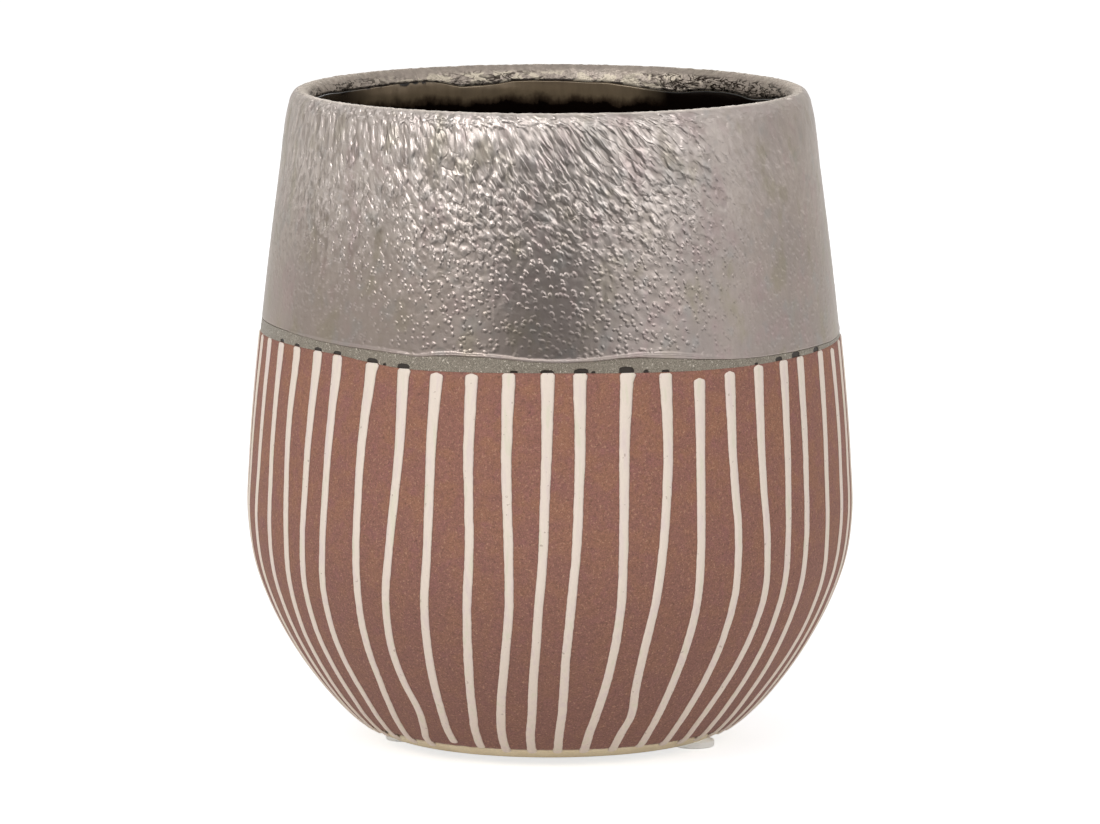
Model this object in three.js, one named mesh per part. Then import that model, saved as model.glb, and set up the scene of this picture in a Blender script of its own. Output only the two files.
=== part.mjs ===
// A round-bellied ceramic vase: a fired clay body with a terracotta slip coat that carries
// hand-painted cream lines, a thick metallic glaze over the shoulder and lip, a dark glaze
// inside, and three clear stick-on pads under the foot.
// Millimetres, +Z up. The origin is the centre of the circle that the pads stand on.
// Azimuths are in degrees from the front (-Y), growing towards +X.
import * as THREE from 'three';

// The outside of the finished wall
const height = 222; // underside of the pads to the crest of the lip
const footRadius = 56.4; // edge of the foot
const bellyRadius = 102.4; // widest point
const bellyHeight = 77; // height of the widest point
const lipRadius = 88.6; // where the wall ends and the lip starts to round over
const footFlare = 12.4; // degrees, how steeply the wall leaves the foot
const lipLean = 8; // degrees that the wall leans inwards at the lip
const footPull = 14.6; // how far the wall keeps its direction at the foot
const bellyPullDown = 31; // and below the belly
const bellyPullUp = 37; // above the belly
const lipPull = 40; // and below the lip

// Walls, foot and floor
const wallThickness = 8.6;
const lipRise = 6; // height of the rounded lip
const floorThickness = 9; // foot plane to the finished floor inside
const footRingWidth = 16; // flat ring that the foot stands on, wide enough for every pad
const footRecess = 1.5; // depth of the hollow inside that ring
const recessSlope = 1.5; // width of the slope at the edge of the hollow

// Coats fired on to the clay
const coatThickness = 0.8;
const clearance = 0.3; // between each coat and what it lies on or meets
const bareFoot = 3.4; // height of the bare clay left above the foot plane
const borderHeight = 137.9; // top of the slip coat
const beadWidth = 3; // rolled lower edge of the metallic glaze
const beadSwell = 0.5; // how far that edge stands proud
const innerEdgeDrop = 6; // crest of the lip to the glaze's edge inside

// Uneven edges, as [azimuth, steps above the even edge]
const waveHeight = 0.1; // of one step in these lists and in the ends of the lines
const borderWaves = [[-80, 24], [-46, 23], [-30, 0], [0, 1], [36, -8], [64, -2],
  [100, 7], [140, -3], [190, 5], [235, 2]];
const beadRises = [[-75, 39], [-48, 28], [-22, 48], [2, 30], [18, 44], [40, 21], [66, 12], [82, 6],
  [105, 26], [145, 44], [190, 32], [240, 46]];
const innerWaves = [[98, 14], [119, -16], [133, -6], [149, -20], [165, 0], [189, 6],
  [200, -12], [212, 14], [235, 8], [255, 16], [300, -4], [350, 9], [400, -8]];

// Cream lines
const lineWidth = 3.3;
const lineTopSpread = 1.7; // extra width at the border
const lineSpreadPower = 6; // how quickly that extra width fades below it
const lineThickness = 0.45;
const lineCount = 49;
const lineEndRound = 1.4; // length of the rounded end of a line
const lineEndShare = 0.45; // width of a line at its very end, as a share of its full width
const lineFootSpill = 1.2; // how far the lines run on to the bare foot
// How far up the slip coat the lines are placed, from its lower edge (0) to the border (1)
const lineLevels = [1, 0.81, 0.6, 0.45, 0.32, 0.22, 0.14, 0.07, 0.02];
// One row for each line of the front: its azimuths at those levels, how many steps below the
// border it starts and how many above the usual end it stops
const frontLines = [
  [-73.2, -73.6, -74.6, -74.9, -75.3, -75.7, -76.2, -76.7, -77.2, 0, 0],
  [-66.1, -66.6, -66.5, -67.5, -68.4, -69.3, -70.3, -71.4, -72.2, 0, 0],
  [-59, -59.9, -59.3, -60.8, -62.7, -63.8, -65.1, -66, -66.9, 0, 0],
  [-51.7, -52.7, -53.4, -55.1, -56.5, -57.1, -58, -60, -60.6, 0, 0],
  [-45.7, -46.6, -47.4, -49.1, -50.4, -50.7, -51.3, -52.9, -54, 0, 0],
  [-36.7, -38.1, -38.7, -39.7, -41, -41.9, -43.3, -45.1, -46.2, 0, 0],
  [-29.3, -29.5, -31.1, -33.1, -34.5, -34.4, -34.2, -36.2, -38.5, 0, 0],
  [-22.2, -22.8, -23.2, -24.6, -25.8, -26.7, -27.5, -28.5, -28.8, 4, 46],
  [-15.1, -15.4, -15, -15.9, -17.1, -18.2, -19.2, -20.3, -20.6, 4, 26],
  [-7.8, -8.2, -7.6, -7.9, -9.4, -10.9, -12.1, -13, -13.2, 0, 0],
  [-0.4, -0.7, -1.3, -2.2, -3.1, -3.9, -4.5, -5.3, -5.4, 0, 0],
  [5.7, 5.6, 4.9, 3.9, 3.2, 3, 2.8, 2.3, 2.2, 0, 0],
  [14.8, 14, 13.6, 13.5, 12.9, 12.1, 11.2, 10.4, 10.2, 0, 0],
  [22.6, 22.6, 21.3, 20.2, 19.3, 19.5, 20.3, 19.3, 19.1, 3, 0],
  [29.8, 29.4, 29.1, 29.1, 28.7, 28.2, 27.8, 27.6, 27.7, 25, 18],
  [36.9, 36.6, 37.4, 37.7, 37.3, 36.7, 36.1, 35.9, 36.2, 10, 10],
  [44.4, 43.8, 44.6, 45.6, 45, 44, 43.2, 43.1, 43.8, 0, 0],
  [51.8, 51.3, 50.6, 51.1, 51.1, 50.7, 50.4, 50.7, 51.4, 0, 0],
  [57.6, 57.2, 56.6, 57, 57.1, 57.2, 57.3, 58.1, 58.5, 0, 0],
  [66.5, 65.7, 65, 66.2, 66.1, 65.1, 64.5, 64.6, 64.8, 0, 0],
  [73.8, 73.9, 72.9, 72.3, 71.5, 71, 71.1, 71.6, 72, 9, 0],
];
// The lines behind, which the front rows don't give
const backLineLean = -3; // degrees that they drift on their way down
const backLineSway = 1.2; // degrees of unsteadiness
const swayPerLine = [2.4, 5.1]; // radians by which the two sways turn from line to line
const swayOverHeight = [6.5, -3.5]; // and from the border down to the foot
const shortLineEvery = 5; // one line in so many starts below the border
const shortLineDrop = 22; // by so many steps

// Clear pads
const padThickness = 2.2;
const padRadius = 7;
const padBevel = 0.5;
// One row for each pad: its azimuth, and how far its centre lies inside the edge of the foot
const padPlaces = [[-81, 6.8], [67, 3.4], [180, 3.4]];

// Fineness of the curved surfaces
const aroundSteps = 48;
const footSteps = 7; // foot to belly
const shoulderSteps = 6; // belly to lip
const lipSteps = 3; // each half of the lip
const padSteps = 20;

const footPlane = padThickness;
const floorTop = footPlane + floorThickness;
const fullTurn = 360; // degrees
const direction = (degrees) => {
  const angle = THREE.MathUtils.degToRad(degrees);
  return new THREE.Vector2(Math.cos(angle), Math.sin(angle));
};
const azimuthDirection = (degrees) => {
  const angle = THREE.MathUtils.degToRad(degrees);
  return new THREE.Vector2(Math.sin(angle), -Math.cos(angle));
};

// At each corner of a line of points, the step that moves both of its sides out by 1 mm
function mitresOf(points) {
  const normals = points.slice(1).map((point, i) => {
    const along = point.clone().sub(points[i]).normalize();
    return new THREE.Vector2(along.y, -along.x);
  });
  return points.map((_, i) => {
    const before = normals[Math.max(i - 1, 0)];
    const after = normals[Math.min(i, normals.length - 1)];
    return before.clone().add(after).divideScalar(1 + before.dot(after));
  });
}

// The section of the finished surface, as radius and height: up the outside from the foot, over
// the lip and down the inside to the middle of the floor
function finishedSection() {
  const foot = new THREE.Vector2(footRadius, footPlane);
  const belly = new THREE.Vector2(bellyRadius, bellyHeight);
  const lipStart = new THREE.Vector2(lipRadius, height - lipRise);
  const lipDirection = direction(90 + lipLean);
  const below = new THREE.CubicBezierCurve(
    foot,
    foot.clone().addScaledVector(direction(footFlare), footPull),
    new THREE.Vector2(bellyRadius, bellyHeight - bellyPullDown),
    belly,
  );
  const above = new THREE.CubicBezierCurve(
    belly,
    new THREE.Vector2(bellyRadius, bellyHeight + bellyPullUp),
    lipStart.clone().addScaledVector(lipDirection, -lipPull),
    lipStart,
  );
  const outside = [...below.getPoints(footSteps), ...above.getPoints(shoulderSteps).slice(1)];
  const outsideMitres = mitresOf(outside);
  const inside = outside.map((p, i) => p.clone().addScaledVector(outsideMitres[i], -wallThickness));
  inside.reverse();

  const lipEnd = inside[0];
  const roundness = 0.55; // of the handle of a quarter circle to its radius
  const crest = new THREE.Vector2((lipStart.x + lipEnd.x) / 2, height);
  const crestPull = wallThickness / 2 * roundness;
  const outerLip = new THREE.CubicBezierCurve(
    lipStart,
    lipStart.clone().addScaledVector(lipDirection, lipRise * roundness),
    new THREE.Vector2(crest.x + crestPull, height),
    crest,
  );
  const innerLip = new THREE.CubicBezierCurve(
    crest,
    new THREE.Vector2(crest.x - crestPull, height),
    lipEnd.clone().addScaledVector(lipDirection, lipRise * roundness),
    lipEnd,
  );

  const wallInside = inside.filter((p) => p.y > floorTop + coatThickness);
  const last = wallInside[wallInside.length - 1];
  const next = inside[wallInside.length];
  const share = (last.y - floorTop) / (last.y - next.y);
  const floorEdge = new THREE.Vector2(last.x + (next.x - last.x) * share, floorTop);
  return [
    ...outside,
    ...outerLip.getPoints(lipSteps).slice(1),
    ...innerLip.getPoints(lipSteps).slice(1),
    ...wallInside.slice(1),
    floorEdge,
    new THREE.Vector2(0, floorTop),
  ];
}

// The corners of the finished surface, each with its place, its mitre and its length from the foot
const sectionPoints = finishedSection();
const sectionMitres = mitresOf(sectionPoints);
const skin = sectionPoints.map((point, i) => ({ point, mitre: sectionMitres[i], length: 0 }));
for (let i = 1; i < skin.length; i++) {
  skin[i].length = skin[i - 1].length + skin[i].point.distanceTo(skin[i - 1].point);
}
const skinLength = skin[skin.length - 1].length;
const crestIndex = footSteps + shoulderSteps + lipSteps;

// The point at a length from the foot, sunk below the finished surface by a depth
function skinPoint(length, depth) {
  const i = Math.max(skin.findIndex((corner) => corner.length >= length), 1);
  const share = (length - skin[i - 1].length) / (skin[i].length - skin[i - 1].length);
  const point = skin[i - 1].point.clone().lerp(skin[i].point, share);
  const mitre = skin[i - 1].mitre.clone().lerp(skin[i].mitre, share);
  return point.addScaledVector(mitre, -depth);
}

// The length at which the skin between two of its corners passes a height
function lengthAtHeight(wanted, first, last) {
  for (let i = first + 1; i <= last; i++) {
    const low = skin[i - 1].point.y;
    const high = skin[i].point.y;
    if ((wanted - low) * (wanted - high) <= 0 && low !== high) {
      return THREE.MathUtils.mapLinear(wanted, low, high, skin[i - 1].length, skin[i].length);
    }
  }
  throw new Error(`the wall never passes height ${wanted}`);
}
const outsideLength = (wanted) => lengthAtHeight(wanted, 0, crestIndex);
const insideLength = (wanted) => lengthAtHeight(wanted, crestIndex, skin.length - 1);
const skinCorners = (from, to) =>
  skin.map((corner) => corner.length).filter((length) => length > from && length < to);

// A smooth curve through pairs of a place and a value, with its two ends held level
function smoothValue(pairs, place) {
  const last = pairs.length - 2;
  const i = THREE.MathUtils.clamp(pairs.findLastIndex((pair) => pair[0] <= place), 0, last);
  const [left, right] = [pairs[i], pairs[i + 1]];
  const slope = (k) => {
    const [before, after] = [pairs[Math.max(k - 1, 0)], pairs[Math.min(k + 1, last + 1)]];
    return (after[1] - before[1]) / (after[0] - before[0]);
  };
  const span = right[0] - left[0];
  const t = THREE.MathUtils.clamp((place - left[0]) / span, 0, 1);
  const bend = t * t * (3 - 2 * t);
  const slopes = slope(i) * t * (1 - t) ** 2 - slope(i + 1) * t * t * (1 - t);
  return left[1] * (1 - bend) + right[1] * bend + slopes * span;
}

// The same round the vase, where the curve meets itself
function waveAt(pairs, azimuth) {
  const turned = ([place, value], turns) => [place + fullTurn * turns, value];
  const around = [-1, 0, 1].flatMap((turns) => pairs.map((pair) => turned(pair, turns)));
  const start = pairs[0][0];
  const place = THREE.MathUtils.euclideanModulo(azimuth - start, fullTurn) + start;
  return smoothValue(around, place);
}
const unevenAt = (pairs, azimuth) => waveHeight * waveAt(pairs, azimuth);
const borderAt = (azimuth) => borderHeight + unevenAt(borderWaves, azimuth);

// A closed solid through a row of closed sections, joined end to end or closed by flat ends
function loft(sections, isRing) {
  const size = sections[0].length;
  const corners = sections.flat();
  const faces = [];
  const addFace = (a, b, c) => {
    const [p, q, r] = [corners[a], corners[b], corners[c]];
    if (p.equals(q) || q.equals(r) || r.equals(p)) return;
    faces.push(a, b, c);
  };
  const steps = isRing ? sections.length : sections.length - 1;
  for (let i = 0; i < steps; i++) {
    const near = i * size;
    const far = ((i + 1) % sections.length) * size;
    for (let j = 0; j < size; j++) {
      const next = (j + 1) % size;
      addFace(near + j, far + j, near + next);
      addFace(near + next, far + j, far + next);
    }
  }
  if (!isRing) {
    const end = (sections.length - 1) * size;
    for (let j = 1; j < size - 1; j++) {
      addFace(0, j, j + 1);
      addFace(end, end + j + 1, end + j);
    }
  }
  const geometry = new THREE.BufferGeometry();
  const places = new THREE.Float32BufferAttribute(corners.flatMap((corner) => corner.toArray()), 3);
  geometry.setAttribute('position', places);
  geometry.setIndex(faces);
  geometry.computeVertexNormals();
  return geometry;
}

// A ring or bowl whose section may change round the vase
function ringSolid(sectionAt) {
  return loft(azimuths.map((azimuth) => {
    const out = azimuthDirection(azimuth);
    return sectionAt(azimuth).map((p) => new THREE.Vector3(out.x * p.x, out.y * p.x, p.y));
  }), true);
}

// The section of a coat: its face at the finished surface and its back on the clay. Corners of the
// skin that lie past an uneven edge are drawn back to that edge.
function coatSection(from, to, corners, swells = []) {
  const faceStart = swells.length ? swells[swells.length - 1].length : from;
  const between = (start) => corners.map((length) => THREE.MathUtils.clamp(length, start, to));
  return [
    skinPoint(from, 0),
    ...swells.map((swell) => skinPoint(swell.length, -swell.height)),
    ...[...between(faceStart), to].map((length) => skinPoint(length, 0)),
    ...[from, ...between(from), to].reverse().map((length) => skinPoint(length, coatThickness)),
  ];
}

// A solid of revolution from its section, turned so that the section's height is Z
function turnedSolid(section, steps) {
  return new THREE.LatheGeometry(section, steps).rotateX(Math.PI / 2);
}

// Where the coats end, as lengths along the skin
const slipBottom = outsideLength(footPlane + bareFoot);
const beadEdge = (azimuth) => outsideLength(borderAt(azimuth) + unevenAt(beadRises, azimuth));
const innerEdge = (azimuth) => insideLength(height - innerEdgeDrop + unevenAt(innerWaves, azimuth));
const azimuths = Array.from({ length: aroundSteps }, (_, i) => fullTurn * i / aroundSteps);
const borderLow = Math.min(...azimuths.map((azimuth) => outsideLength(borderAt(azimuth))));
const borderHigh = Math.max(...azimuths.map(beadEdge));
const innerEdgeHigh = Math.min(...azimuths.map(innerEdge));
const innerEdgeLow = Math.max(...azimuths.map(innerEdge));

// The fired clay: bare at the foot, and lower by the thickness of the coats everywhere else
function clayBody() {
  const ringInside = footRadius - footRingWidth;
  const bareEnd = slipBottom - clearance;
  const coveredDepth = coatThickness + clearance;
  const bare = [0, ...skinCorners(0, bareEnd), bareEnd];
  const covered = [bareEnd, ...skinCorners(bareEnd, skinLength), skinLength];
  return turnedSolid([
    new THREE.Vector2(0, footPlane + footRecess),
    new THREE.Vector2(ringInside - recessSlope, footPlane + footRecess),
    new THREE.Vector2(ringInside, footPlane),
    ...bare.map((length) => skinPoint(length, 0)),
    ...covered.map((length) => skinPoint(length, coveredDepth)),
  ], aroundSteps);
}

// The matte terracotta slip from the bare foot to the border
function slipCoat() {
  const corners = skinCorners(slipBottom, borderHigh);
  return ringSolid((azimuth) => {
    const top = outsideLength(borderAt(azimuth)) - clearance / 2;
    return coatSection(slipBottom, top, corners);
  });
}

// The thin grainy first glaze that shows between the border and the rolled edge
function glazeMargin() {
  const corners = skinCorners(borderLow, borderHigh);
  return ringSolid((azimuth) => {
    const bottom = outsideLength(borderAt(azimuth)) + clearance / 2;
    return coatSection(bottom, beadEdge(azimuth) - clearance / 2, corners);
  });
}

// The thick metallic glaze: shoulder, lip and the top of the inside, with a rolled lower edge
function metalGlaze() {
  const corners = skinCorners(borderLow, innerEdgeLow);
  return ringSolid((azimuth) => {
    const bottom = beadEdge(azimuth) + clearance / 2;
    const swells = [
      { length: bottom + beadWidth / 2, height: beadSwell },
      { length: bottom + beadWidth, height: 0 },
    ];
    return coatSection(bottom, innerEdge(azimuth) - clearance / 2, corners, swells);
  });
}

// The dark glossy glaze that lines the wall and the floor
function innerGlaze() {
  const corners = skinCorners(innerEdgeHigh, skinLength);
  return ringSolid((azimuth) => coatSection(innerEdge(azimuth) + clearance / 2, skinLength, corners));
}

// The rows of the lines behind, spread evenly over the rest of the vase and drawn as unsteadily
function backLines() {
  const first = frontLines[0][0];
  const last = frontLines[frontLines.length - 1][0];
  const count = lineCount - frontLines.length;
  const step = (fullTurn - (last - first)) / (count + 1);
  const swayAt = (k, level) => {
    const sways = swayPerLine.map((turn, i) => Math.sin(turn * k + swayOverHeight[i] * (1 - level)));
    return sways.reduce((sum, sway) => sum + sway) / sways.length;
  };
  return Array.from({ length: count }, (_, k) => {
    const crossings = lineLevels.map((level) =>
      last + step * (k + 1) + backLineLean * (1 - level) + backLineSway * swayAt(k, level));
    const isShort = (k + 1) % shortLineEvery === 0;
    return [...crossings, isShort ? shortLineDrop : 0, 0];
  });
}

// The lengths between two ends at which a line has a section: the corners of the skin, and the
// levels of its crossings that aren't close to one of them
function lineSections(from, to) {
  const corners = skinCorners(from, to);
  const bends = lineLevels
    .map((level) => THREE.MathUtils.lerp(slipBottom, borderLow, level))
    .filter((bend) => [from, to, ...corners].every((length) => Math.abs(length - bend) > lineEndRound))
    .filter((bend) => bend > from && bend < to);
  return [...corners, ...bends].sort((a, b) => a - b);
}

// One painted line, from its end on the foot up to the border
function creamLine(row) {
  const crossings = lineLevels.map((level, i) => [level, row[i]]).reverse();
  const [topDrop, footRise] = row.slice(lineLevels.length).map((steps) => steps * waveHeight);
  const bottom = slipBottom - lineFootSpill + footRise;
  const top = outsideLength(borderAt(row[0]) - topDrop) - clearance / 2;
  const ends = [bottom, bottom + lineEndRound, top - lineEndRound, top];
  const lengths = [...ends.slice(0, 2), ...lineSections(ends[1], ends[2]), ...ends.slice(2)];
  return loft(lengths.map((length, i) => {
    const level = THREE.MathUtils.clamp((length - slipBottom) / (borderLow - slipBottom), 0, 1);
    const isEnd = i === 0 || i === lengths.length - 1;
    const full = lineWidth + lineTopSpread * level ** lineSpreadPower;
    const width = isEnd ? full * lineEndShare : full;
    const out = azimuthDirection(smoothValue(crossings, level));
    const side = new THREE.Vector2(-out.y, out.x);
    const foot = skinPoint(length, -clearance);
    const crest = skinPoint(length, -clearance - lineThickness);
    const corner = (p, across) => new THREE.Vector3(
      out.x * p.x + side.x * across,
      out.y * p.x + side.y * across,
      p.y,
    );
    const half = width / 2;
    return [
      corner(crest, half - lineThickness),
      corner(crest, lineThickness - half),
      corner(foot, -half),
      corner(foot, half),
    ];
  }), false);
}

// A clear pad, standing on the table and stuck to the foot ring
function footPad() {
  return turnedSolid([
    new THREE.Vector2(0, 0),
    new THREE.Vector2(padRadius - padBevel, 0),
    new THREE.Vector2(padRadius, padBevel),
    new THREE.Vector2(padRadius, padThickness),
    new THREE.Vector2(0, padThickness),
  ], padSteps);
}

const finishes = {
  clay: new THREE.MeshStandardMaterial({ color: '#bca786', roughness: 0.9, metalness: 0 }),
  slip: new THREE.MeshStandardMaterial({ color: '#93685a', roughness: 0.85, metalness: 0 }),
  margin: new THREE.MeshStandardMaterial({ color: '#8b837a', roughness: 0.7, metalness: 0.2 }),
  metal: new THREE.MeshStandardMaterial({ color: '#a59a93', roughness: 0.32, metalness: 0.85 }),
  lining: new THREE.MeshStandardMaterial({ color: '#3a3026', roughness: 0.15, metalness: 0.3 }),
  cream: new THREE.MeshStandardMaterial({ color: '#dfd5c8', roughness: 0.8, metalness: 0 }),
  clear: new THREE.MeshStandardMaterial({
    color: '#d4d6d8', roughness: 0.35, metalness: 0, transparent: true, opacity: 0.6,
  }),
};

const vase = new THREE.Group();
function addPiece(name, geometry, finish) {
  const piece = new THREE.Mesh(geometry, finish);
  piece.name = name;
  vase.add(piece);
  return piece;
}

addPiece('clay_body', clayBody(), finishes.clay);
addPiece('slip_coat', slipCoat(), finishes.slip);
addPiece('glaze_margin', glazeMargin(), finishes.margin);
addPiece('metal_glaze', metalGlaze(), finishes.metal);
addPiece('inner_glaze', innerGlaze(), finishes.lining);
[...frontLines, ...backLines()].forEach((row, i) => {
  addPiece(`cream_line_${String(i + 1).padStart(2, '0')}`, creamLine(row), finishes.cream);
});
padPlaces.forEach(([azimuth, inset], i) => {
  const place = azimuthDirection(azimuth).multiplyScalar(footRadius - inset);
  const pad = addPiece(`foot_pad_${i + 1}`, footPad(), finishes.clear);
  pad.position.set(place.x, place.y, 0);
});

export default vase;
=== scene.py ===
"""The looks of a round-bellied ceramic vase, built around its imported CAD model.

Sizes are in metres, with +Z up and the photographed side towards -Y. Azimuths are in degrees from
that side, growing towards +X. The finished surface is one line from the edge of the foot over the
lip to the middle of the floor inside. Every coat is laid along it, so places on the vase are an
azimuth and a length along that line.
"""
import math

import bmesh
import bpy
import numpy as np
from mathutils import Matrix, Vector, noise


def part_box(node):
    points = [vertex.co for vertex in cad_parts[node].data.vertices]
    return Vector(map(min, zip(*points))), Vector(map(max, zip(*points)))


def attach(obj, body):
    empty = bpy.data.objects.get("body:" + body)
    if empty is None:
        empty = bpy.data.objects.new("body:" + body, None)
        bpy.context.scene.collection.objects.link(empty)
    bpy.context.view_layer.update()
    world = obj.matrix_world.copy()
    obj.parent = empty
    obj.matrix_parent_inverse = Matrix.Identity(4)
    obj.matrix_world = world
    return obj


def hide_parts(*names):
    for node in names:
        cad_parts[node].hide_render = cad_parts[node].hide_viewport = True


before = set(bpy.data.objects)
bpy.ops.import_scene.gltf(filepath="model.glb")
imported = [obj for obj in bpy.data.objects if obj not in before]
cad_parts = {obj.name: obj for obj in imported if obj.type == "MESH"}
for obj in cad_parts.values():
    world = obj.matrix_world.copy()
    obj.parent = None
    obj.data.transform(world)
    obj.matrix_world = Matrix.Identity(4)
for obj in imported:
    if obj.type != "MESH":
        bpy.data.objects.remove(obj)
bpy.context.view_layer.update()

bl_info = {
    "name": "Ceramic vase",
    "version": (1, 0, 0),
    "blender": (4, 5, 0),
    "location": "View3D > Sidebar > Vase",
    "description": "Builds the finishes of a glazed vase with painted lines around its CAD model",
    "category": "Add Mesh",
}

MM = 0.001
BODY = "root"
WELD = 1e-6  # corners of a mesh that lie this close are one
LIP_START = 0.216  # the height at which the lip starts to round over
MARGIN_RADIUS = 98  # millimetres, of the first glaze where it shows
PEBBLE_RADIUS = 95  # millimetres, of the metallic glaze at half its height
SMALL_PEBBLE, LARGE_PEBBLE = 2.1, 3.4  # millimetres

# The section of the finished surface as radius and height in millimetres: up the outside, over the
# lip, and down the inside to the floor
OUTLINE = [
    (56.4, 2.2), (63.4, 5.7), (71.8, 13.0), (80.5, 23.2), (88.8, 35.5), (95.8, 49.2), (100.6, 63.3),
    (102.4, 77.0), (101.8, 97.4), (100.1, 120.7), (97.6, 145.5), (94.7, 170.6), (91.6, 194.5),
    (88.6, 216.0), (87.8, 219.0), (86.4, 221.2), (84.3, 222.0), (82.1, 220.9), (80.5, 218.1),
    (80.1, 214.8), (83.0, 193.4), (86.1, 169.5), (89.0, 144.6), (91.5, 119.9), (93.2, 96.9),
    (93.8, 77.4), (92.2, 65.2), (87.8, 52.5), (81.4, 39.9), (73.6, 28.4), (65.6, 19.0),
    (59.6, 13.4), (55.0, 11.5), (49.0, 11.2), (25.0, 11.2), (0.0, 11.2),
]
CREST = 16  # number of the corner at the top of the lip
# The clay's underside in the same measures: a shallow hollow, and the ring round it
UNDERSIDE = [(0, 3.7), (20, 3.7), (35, 3.7), (38.0, 3.65), (38.9, 3.4), (39.5, 2.6), (40.2, 2.25),
             (41.2, 2.2), (50, 2.2), (54.6, 2.2), (55.9, 2.35)]
RING_CORNER = 7  # number of the corner at the inner side of the ring

# How strongly the metallic glaze is pebbled, as azimuth and share, at the lip and at its lower edge
PEBBLES_HIGH = [(-90, 0.5), (-70, 0.85), (-52, 1.25), (-35, 1.3), (-10, 1.05), (8, 1.05), (20, 1.2),
                (28, 0.9), (36, 0.62), (46, 0.4), (60, 0.27), (85, 0.3), (115, 0.8), (150, 1),
                (190, 0.75), (225, 1), (250, 0.6)]
PEBBLES_LOW = [(-90, 0.08), (-70, 0.05), (-55, 0.06), (-38, 0.2), (-15, 0.25), (0, 0.12), (8, 0.2),
               (18, 0.32), (28, 0.18), (45, 0.1), (60, 0.08), (85, 0.15), (115, 0.4), (150, 0.5),
               (190, 0.35), (225, 0.5), (250, 0.2)]
# How far the pebbles lean from upright, as sideways run per rise
PEBBLE_LEAN = [(-90, 0.05), (-50, 0.12), (-25, 0.3), (0, 0.48), (20, 0.5), (40, 0.4), (90, 0.2),
               (150, -0.3), (200, 0.1), (240, 0.4)]
# How much they are drawn out upwards at the lip. Lower down they are round
PEBBLE_SQUEEZE = [(-90, 0.5), (-30, 0.6), (0, 0.6), (10, 0.5), (24, 0.28), (60, 0.3), (120, 0.6),
                  (200, 0.6)]
# The rolled lower edge of the metallic glaze, as azimuth and millimetres above the CAD edge
BEAD_RETOUCH = [(-80, 0), (-52, 0.3), (-44, 0), (-37, 0.2), (-31, -0.1), (-26.5, -0.7),
                (-21, 0), (-16, 0.2), (-10, 0.3), (-5, 0), (0, -0.1), (7, 0), (14, 0.1),
                (19.5, 0), (23, -0.1), (32, 0), (41.5, 0.1), (60, 0), (120, 0.4), (150, -0.3),
                (200, 0.4), (236, -0.3)]
# How proud its ridge stands, as a share of the full swell, and how far above the edge it runs
BEAD_PROUD = [(-90, 0.05), (-64, 0.15), (-56, 0.7), (-31, 0.9), (-27, 0.3), (-23, 1.2), (-12, 1),
              (-5, 0.7), (3, 0.75), (9, 1.1), (22, 1.1), (31, 0.8), (40, 0.4), (48, 0.12),
              (75, 0.1), (120, 0.9), (150, 0.6), (180, 1), (215, 0.4), (245, 0.9)]
BEAD_ABOVE = [(-90, 0.7), (-30, 0.65), (-8, 0.8), (5, 0.75), (13, 0.8), (19, 1.4), (24, 1.7),
              (30, 1.3), (37, 0.8), (90, 0.7), (140, 1.1), (200, 0.8), (240, 1.2)]
# Inside the lip: how much of the metallic glaze's lower half is painted white as a highlight, how
# much is cracked through to the dark, and how strongly the inner glaze below it takes a painted
# pale band of light
PAINTED_HIGHLIGHT_INSIDE = [(0, 0.2), (60, 0.1), (90, 0.1), (125, 0.05), (143, 0.3), (157, 0.9), (180, 1),
                (213, 0.9), (225, 0.3), (260, 0.1), (300, 0.2)]
CRACKED_INSIDE = [(0, 0), (60, 0), (90, 0.6), (105, 1), (140, 1), (152, 0.9), (165, 0.15),
                  (180, 0.25), (193, 0.9), (200, 0.7), (215, 0.15), (230, 0.8), (240, 1), (260, 1),
                  (300, 0)]
LIT_BAND_INSIDE = [(0, 0.4), (60, 0.2), (90, 0), (150, 0.05), (159, 0.9), (180, 1), (215, 1),
               (229, 0.9), (237, 0.3), (252, 0.1), (300, 0.4)]
# Where the first glaze has crawled away above a line: azimuth, and millimetres across and high
CRAWLS = [
    (-66.1, 3.4, 1.1), (-59.3, 3.6, 0.9), (-51.8, 4.2, 1.1), (-45.9, 4.0, 1.1), (-36.6, 4.6, 1.5),
    (-29.4, 4.6, 1.6), (-6.9, 2.6, 0.8), (-0.6, 4.6, 1.0), (6.0, 4.9, 1.5), (8.3, 1.6, 0.7),
    (14.8, 5.3, 2.0), (22.7, 2.8, 0.8), (44.0, 1.6, 0.7), (50.6, 3.6, 1.3), (56.4, 5.0, 1.9),
    (64.8, 4.2, 1.5), (-33.7, 1.1, 0.8), (18.7, 1.7, 1.0), (96.0, 4.4, 1.3), (118.0, 3.6, 1.0),
    (141.0, 4.8, 1.6), (176.0, 4.0, 1.2), (198.0, 4.6, 1.5), (228.0, 3.8, 1.1), (252.0, 4.4, 1.4),
]
# Painted lines are numbered as in the CAD model, those of the front first
FRONT_LINES = 21
LINE_SEED = 7.31  # how far apart they lie in the noise that makes them waver
# Those of the front whose upper end is a round dome, and by how many millimetres others flare to
# the right there
ROUND_TOPS = {8, 9, 15, 16, 17, 21}
FLARED_TOPS = {6: 0.9, 7: 0.5, 13: 1.1, 4: 0.2, 12: 0.4}

AIM_HEIGHT = 0.12  # where the soft lights point
# The studio. Soft lights: name, azimuth, height, width, length, distance and power
SOFTBOXES = [
    ("left softbox", -41, 1.2, 0.6, 1.0, 1.5, 8.8),
    ("right softbox", 43, 1.15, 0.6, 1.1, 1.7, 4.6),
    ("front softbox", -3, 1.6, 1.2, 0.6, 1.6, 4.4),
    ("back softbox", 180, 0.9, 1.2, 0.4, 1.8, 4.0),
]
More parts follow.
